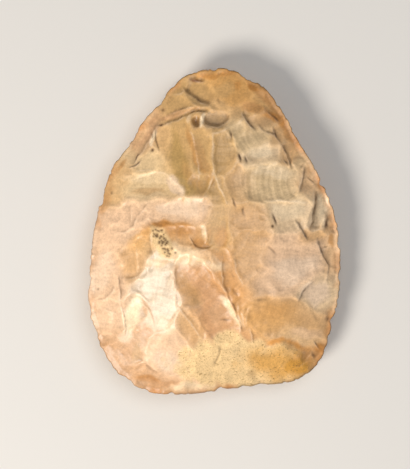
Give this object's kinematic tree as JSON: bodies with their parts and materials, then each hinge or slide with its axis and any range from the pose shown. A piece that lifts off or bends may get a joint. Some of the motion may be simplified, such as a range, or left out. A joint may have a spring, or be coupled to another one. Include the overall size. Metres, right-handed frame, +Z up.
{
  "type": "stone hand axe",
  "caption": "Ovate knapped flint hand axe with flake-scarred faces, a sharp wavy margin and a rind-covered butt, lying on its lower face.",
  "frame": {"origin": "on the surface the piece lies on, under the middle of its bounding box", "axes": "+Y from the butt to the tip, +X across to the right seen from above, +Z up through the flat between the faces"},
  "size_m": [0.1084, 0.1402, 0.0377],
  "materials": {
    "patinated_flint": "waxy patinated flint, cream and honey, with chalky rind at the butt"
  },
  "bodies": {
    "root": {"hand_axe": "patinated_flint"}
  },
  "joints": []
}
